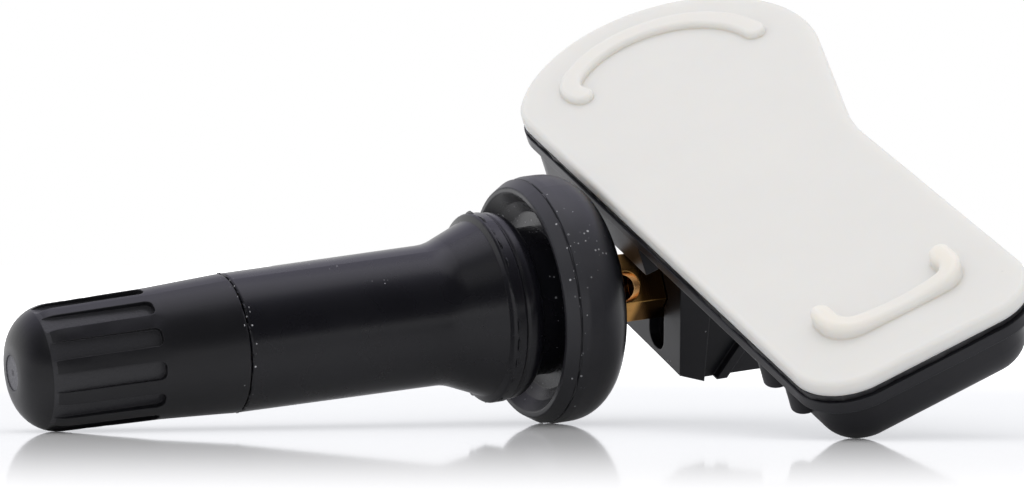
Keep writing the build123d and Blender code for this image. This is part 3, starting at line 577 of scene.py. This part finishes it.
# Valve core: a turned brass plug and barrel with a rubber seat ring, and a sprung pin that carries the
# sealing cup. It is screwed into the stem as one unit, and its spring is shown as its own copy of the frame's
# spring.
core_finish = metal_finish(
    "fine turned brass",
    bright=(0.80, 0.58, 0.28),
    dull=(0.66, 0.46, 0.2),
    roughness=0.28,
    pitch=0.00002,
    mark_depth=0.000003,
)
for name in ("core_plug", "core_barrel", "core_pin", "core_cup"):
    dress(name, core_finish)
spring_finish = metal_finish(
    "drawn spring wire",
    bright=(0.62, 0.61, 0.59),
    dull=(0.48, 0.47, 0.46),
    roughness=0.3,
    pitch=0.00004,
    mark_depth=0.000002,
)
dress("core_spring", spring_finish)
coil = bpy.data.objects.new("spring_coil", nodes["core_spring"].data.copy())
scene.collection.objects.link(coil)
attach(coil, "sensor")
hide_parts("core_spring")
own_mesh(coil)
seal_finish = moulding_finish(
    "soft seal rubber",
    dark=(0.016, 0.016, 0.018),
    light=(0.026, 0.026, 0.028),
    roughness=0.6,
    specular=0.4,
    grain=7000.0,
    grain_depth=0.000004,
    edge_radius=0.00008,
    edge_tint=(0.03, 0.03, 0.03),
    dust={"Spread": 1500.0, "Speck": 0.1, "Share": 0.6},
)
for name in ("core_seal", "core_cup_seal", "cap_seal"):
    dress(name, seal_finish)

# Cap: hard black plastic moulded through the small gate in its nose, with polished ribs and a coarse
# spark-eroded grain left in the flutes.
flute_share = 0.12
cap_foot = 0.02355
cap_marks, given, result = shared_effect(
    "flutes and gate", {"Flute": 0.00455, "Gate": 0.00142, "Dome": 0.0386}, {"Mask": number}
)
spot = put(cap_marks, "ShaderNodeTexCoord"), "Object"
off_axis = measured_off(cap_marks, spot, to_cap)
station = measured_along(cap_marks, spot, to_cap)
in_flute = worked_out(cap_marks, "LESS_THAN", off_axis, (given, "Flute"))
at_gate = worked_out(cap_marks, "LESS_THAN", off_axis, (given, "Gate"))
on_dome = worked_out(cap_marks, "GREATER_THAN", station, (given, "Dome"))
fluted = ramp(cap_marks, in_flute, 0.0, 1.0, 0.0, flute_share)
feed(cap_marks, mixed(cap_marks, on_dome, fluted, at_gate), result.inputs["Mask"])
cap_finish = moulding_finish(
    "moulded cap plastic",
    dark=(0.006, 0.006, 0.0075),
    light=(0.011, 0.011, 0.013),
    roughness=0.33,
    specular=0.38,
    grain=4200.0,
    grain_depth=0.000006,
    edge_radius=0.00012,
    edge_tint=(0.022, 0.022, 0.025),
    dust={"Spread": 3200.0, "Speck": 0.32, "Share": 0.66, "Seam": cap_foot},
    patch={"effect": cap_marks, "tint": (0.17, 0.17, 0.185), "roughness": 0.6, "grain": 60.0},
)
dress("valve_cap", cap_finish)

# Housing: black glass-filled plastic, moulded in one shot with the cradle that takes the brass end, scuffed
# in handling. The screw behind it pulls the brass into its socket.
stroke_stretch = (150.0, 150.0, 2600.0)
stroke_start, stroke_full, deepest_stroke = 0.6, 0.72, 0.5
scuffs, given, result = shared_effect("scuffs", {"Share": 0.56}, {"Mask": number})
spot = put(scuffs, "ShaderNodeTexCoord"), "Object"
drawn = put(scuffs, "ShaderNodeMapping", {"Vector": spot, "Scale": stroke_stretch}), "Vector"
strokes = noise(scuffs, drawn, scale=1.0, detail=3.0)
places = noise(scuffs, spot, scale=130.0, detail=1.0)
thin = ramp(scuffs, strokes, stroke_start, stroke_full, 0.0, deepest_stroke)
shown = worked_out(scuffs, "GREATER_THAN", places, (given, "Share"))
feed(scuffs, worked_out(scuffs, "MULTIPLY", thin, shown), result.inputs["Mask"])
housing_finish = moulding_finish(
    "glass-filled black plastic",
    dark=(0.006, 0.006, 0.0085),
    light=(0.012, 0.012, 0.0155),
    roughness=0.38,
    specular=0.4,
    grain=5200.0,
    grain_depth=0.000005,
    edge_radius=0.00015,
    edge_tint=(0.026, 0.026, 0.03),
    dust={"Spread": 1200.0, "Speck": 0.14, "Share": 0.55},
    patch={"effect": scuffs, "tint": (0.045, 0.045, 0.05), "roughness": 0.5, "grain": 1.5},
)
dress("sensor_housing", housing_finish)
screw_finish = metal_finish(
    "zinc plated steel",
    bright=(0.66, 0.67, 0.69),
    dull=(0.5, 0.51, 0.53),
    roughness=0.32,
    pitch=0.00005,
    mark_depth=0.000003,
)
dress("mounting_screw", screw_finish)

# Cover: off-white satin plastic, moulded with its two ribs and welded on the tub's rim. The rib's horns and
# the outer edge are painted a little lighter and warmer, as a painted glow where more plastic lets light in.
facing_out, level_digits = 0.999, 5
horn_start, horn_full = 0.0004, 0.0012
translucent_share, light_reach, reach_of_colours = 0.6, 0.0018, (1.0, 0.85, 0.7)
cover_skin = nodes["cover"].data
out_of_cover = max(cover_skin.polygons, key=lambda face: face.area).normal.copy()
if out_of_cover.z < 0:
    out_of_cover.negate()
level_areas = {}
for face in cover_skin.polygons:
    if face.normal.dot(out_of_cover) > facing_out:
        level_of_face = round(face.center.dot(out_of_cover), level_digits)
        level_areas[level_of_face] = level_areas.get(level_of_face, 0.0) + face.area
cover_level = max(level_areas, key=level_areas.get)
on_horns, given, result = shared_effect(
    "over the cover", {"From": cover_level + horn_start, "To": cover_level + horn_full}, {"Mask": number}
)
spot = put(on_horns, "ShaderNodeTexCoord"), "Object"
lifted = measured_along(on_horns, spot, out_of_cover)
feed(on_horns, ramp(on_horns, lifted, (given, "From"), (given, "To")), result.inputs["Mask"])
cover_finish = moulding_finish(
    "off-white cover plastic",
    dark=(0.770, 0.758, 0.730),
    light=(0.80, 0.788, 0.76),
    roughness=0.48,
    specular=0.4,
    grain=4200.0,
    grain_depth=0.000004,
    edge_radius=0.0003,
    # the edge tint and the horns' tint are painted light: a warm glow where thicker plastic lets light in
    edge_tint=(0.83, 0.795, 0.74),
    dust={"Spread": 500.0, "Speck": 0.06, "Share": 0.66},
    patch={"effect": on_horns, "tint": (0.85, 0.81, 0.745), "roughness": 0.4, "grain": 1.0},
)
cover_shader = cover_finish.node_tree.nodes["Principled BSDF"]
cover_shader.inputs["Subsurface Weight"].default_value = translucent_share
cover_shader.inputs["Subsurface Radius"].default_value = reach_of_colours
cover_shader.inputs["Subsurface Scale"].default_value = light_reach
dress("cover", cover_finish)

# Weld seam: black plastic that melted and squeezed out between rim and cover when they were welded, so it
# is uneven all the way round. At the narrow end it stays back under the cover.
cover_thickness, weld_gap = 0.00115, 0.0006
seam_step, weld_seed = 0.0003, 5
upright, on_level, above_level, corner_digits = 0.05, 0.000005, 0.00001, 7
held_over, fresh = 0.8, 0.2
least_squeeze, most_squeeze, furthest_out = -0.0003, 0.00025, 0.00006
narrow_end_recess = 0.0002
open_above, closed_at_end = 0.3, 0.28
bead_root, top_round, foot_round = -0.0007, 0.00003, 0.00002
crown_high, crown_low = 0.4, 0.6
bead_shoulder, bead_flank, bead_foot = 0.03, 0.95, 0.98

seam_level = cover_level - cover_thickness
neighbours = {}
for face in cover_skin.polygons:
    corners = [cover_skin.vertices[corner].co for corner in face.vertices]
    heights = [corner.dot(out_of_cover) - seam_level for corner in corners]
    low_corners = [corner for corner, rise in zip(corners, heights) if abs(rise) < on_level]
    feet = [tuple(round(part, corner_digits) for part in corner) for corner in low_corners]
    stands_up = abs(face.normal.dot(out_of_cover)) < upright
    if stands_up and len(feet) == 2 and max(heights) > above_level:
        neighbours.setdefault(feet[0], []).append(feet[1])
        neighbours.setdefault(feet[1], []).append(feet[0])
outline = [next(iter(neighbours))]
while len(outline) < len(neighbours):
    outline.append(next(foot for foot in neighbours[outline[-1]] if foot not in outline[-2:]))
outline = [Vector(foot) for foot in outline]
middle = sum(outline, Vector()) / len(outline)
seam = []
for start, end in zip(outline, outline[1:] + outline[:1]):
    count = max(1, round((end - start).length / seam_step))
    seam += [start.lerp(end, step / count) for step in range(count)]
toward_wide_end = to_cap.cross(out_of_cover).normalized()
chance = random.Random(weld_seed)
points = []
squeeze = 0.0
for place, spot_on_seam in enumerate(seam):
    way = (seam[(place + 1) % len(seam)] - seam[place - 1]).normalized()
    outward = way.cross(out_of_cover)
    if outward.dot(spot_on_seam - middle) < 0:
        outward.negate()
    squeeze = held_over * squeeze + fresh * chance.uniform(least_squeeze, most_squeeze)
    at_narrow_end = max(0.0, -outward.dot(toward_wide_end))
    reach = min(furthest_out, squeeze - narrow_end_recess * at_narrow_end**2)
    top = open_above - closed_at_end * at_narrow_end
    section = (
        (bead_root, top),
        (reach - top_round, top + bead_shoulder),
        (reach, chance.uniform(crown_high, crown_low)),
        (reach - foot_round, bead_flank),
        (bead_root, bead_foot),
    )
    for push, drop in section:
        points.append(spot_on_seam + outward * push - out_of_cover * (weld_gap * drop))
weld_finish = moulding_finish(
    "squeezed weld plastic",
    dark=(0.012, 0.012, 0.014),
    light=(0.04, 0.04, 0.043),
    roughness=0.4,
    specular=0.45,
    grain=2600.0,
    grain_depth=0.00001,
    edge_radius=0.0001,
    edge_tint=(0.07, 0.07, 0.074),
    dust={"Spread": 1200.0, "Speck": 0.14, "Share": 0.55},
)
faces = swept_faces(len(seam), width=5, closed=True)
piece_from("weld_bead", points, faces, weld_finish, "sensor")

# Inside: the board with its cell, tabs, chip, coil, crystal, antenna and capacitors, soldered and welded
# together and closed in by the cover.
across_housing = out_of_cover.cross(toward_wide_end)
hidden_dust = {"Spread": 1200.0, "Speck": 0.1, "Share": 0.6}
traces, given, result = shared_effect("copper traces", {"Scale": 400.0}, {"Mask": number})
spot = put(traces, "ShaderNodeTexCoord"), "Object"
along_board = measured_along(traces, spot, toward_wide_end)
across_board = measured_along(traces, spot, across_housing)
sheet = put(traces, "ShaderNodeCombineXYZ", {"X": along_board, "Y": across_board}), "Vector"
track_sizes = {"Mortar Size": 0.03, "Brick Width": 1.4, "Row Height": 0.35}
tracks = put(traces, "ShaderNodeTexBrick", {"Vector": sheet, "Scale": (given, "Scale"), **track_sizes})
feed(traces, (tracks, "Fac"), result.inputs["Mask"])
board_finish = moulding_finish(
    "green solder mask",
    dark=(0.010, 0.10, 0.045),
    light=(0.016, 0.14, 0.06),
    roughness=0.3,
    specular=0.5,
    grain=3000.0,
    grain_depth=0.000003,
    edge_radius=0.0001,
    edge_tint=(0.35, 0.32, 0.2),
    dust={"Spread": 1100.0, "Speck": 0.1, "Share": 0.6},
    patch={"effect": traces, "tint": (0.03, 0.24, 0.10), "roughness": 0.25, "grain": 1.0},
)
dress("circuit_board", board_finish)
can_finish = metal_finish(
    "nickel plated can",
    bright=(0.72, 0.71, 0.69),
    dull=(0.58, 0.57, 0.55),
    roughness=0.3,
    pitch=0.00006,
    mark_depth=0.000003,
)
for name in ("battery", "crystal"):
    dress(name, can_finish)
tab_finish = metal_finish(
    "rolled nickel strip",
    bright=(0.70, 0.67, 0.62),
    dull=(0.55, 0.53, 0.49),
    roughness=0.34,
    pitch=0.00004,
    mark_depth=0.000003,
    axis=across_housing,
)
for name in ("positive_tab", "negative_tab"):
    dress(name, tab_finish)
antenna_finish = metal_finish(
    "tinned bronze strip",
    bright=(0.72, 0.66, 0.55),
    dull=(0.55, 0.48, 0.38),
    roughness=0.35,
    pitch=0.00006,
    mark_depth=0.000003,
    axis=toward_wide_end,
)
dress("antenna", antenna_finish)
winding_finish = metal_finish(
    "enamelled copper",
    bright=(0.72, 0.34, 0.16),
    dull=(0.5, 0.2, 0.09),
    roughness=0.3,
    pitch=0.00002,
    mark_depth=0.00003,
    axis=toward_wide_end,
)
dress("coil_winding", winding_finish)
package_finish = moulding_finish(
    "moulded chip package",
    dark=(0.016, 0.016, 0.016),
    light=(0.03, 0.03, 0.03),
    roughness=0.55,
    specular=0.4,
    grain=6000.0,
    grain_depth=0.000005,
    edge_radius=0.0001,
    edge_tint=(0.05, 0.05, 0.05),
    dust=hidden_dust,
)
for name in ("pressure_chip", "coil_core"):
    dress(name, package_finish)
gasket_finish = moulding_finish(
    "grey silicone",
    dark=(0.25, 0.24, 0.23),
    light=(0.33, 0.32, 0.3),
    roughness=0.6,
    specular=0.4,
    grain=5000.0,
    grain_depth=0.000004,
    edge_radius=0.0001,
    edge_tint=(0.36, 0.35, 0.33),
    dust=hidden_dust,
)
dress("port_gasket", gasket_finish)
tinned_ends, given, result = shared_effect("tinned ends", {"From": 0.8, "To": 0.95}, {"Mask": number})
flat = put(tinned_ends, "ShaderNodeNewGeometry"), "Normal"
lengthwise = measured_along(tinned_ends, flat, toward_wide_end)
either_end = worked_out(tinned_ends, "ABSOLUTE", lengthwise)
feed(tinned_ends, ramp(tinned_ends, either_end, (given, "From"), (given, "To")), result.inputs["Mask"])
ceramic_finish = moulding_finish(
    "brown chip ceramic",
    dark=(0.35, 0.24, 0.13),
    light=(0.46, 0.33, 0.19),
    roughness=0.4,
    specular=0.5,
    grain=6000.0,
    grain_depth=0.000003,
    edge_radius=0.0001,
    edge_tint=(0.6, 0.58, 0.55),
    dust=hidden_dust,
    patch={"effect": tinned_ends, "tint": (0.62, 0.60, 0.57), "roughness": 0.3, "grain": 1.0},
)
dress("chip_capacitors", ceramic_finish)
